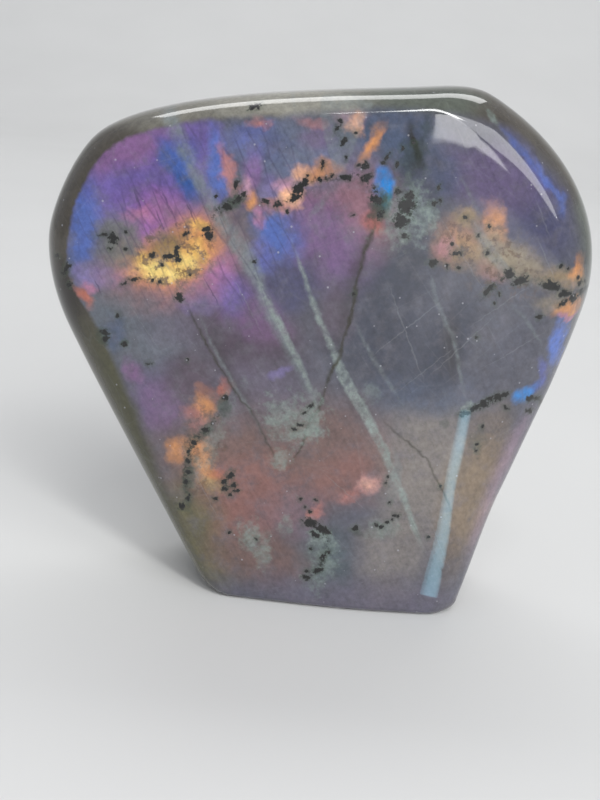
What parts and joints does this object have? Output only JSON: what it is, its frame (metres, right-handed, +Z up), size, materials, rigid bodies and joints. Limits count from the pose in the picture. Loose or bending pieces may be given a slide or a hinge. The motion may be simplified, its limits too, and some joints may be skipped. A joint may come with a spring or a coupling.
{
  "type": "polished labradorite freeform",
  "caption": "Hand-size labradorite slab polished all over to a lopsided shield outline, with rolled edges and a flat cut foot it stands on; shows coloured flash on its front.",
  "frame": {"origin": "on the ground plane under the middle of the stone's bounding box", "axes": "+Z up from the flat foot, -Y out of the front face, +X to the right as the front is seen"},
  "size_m": [0.104, 0.0296, 0.1019],
  "materials": {
    "labradorite": "mirror-polished feldspar, grey-brown at the edges, with violet, blue, rose and gold flash"
  },
  "bodies": {
    "root": {"labradorite": "labradorite"}
  },
  "joints": []
}
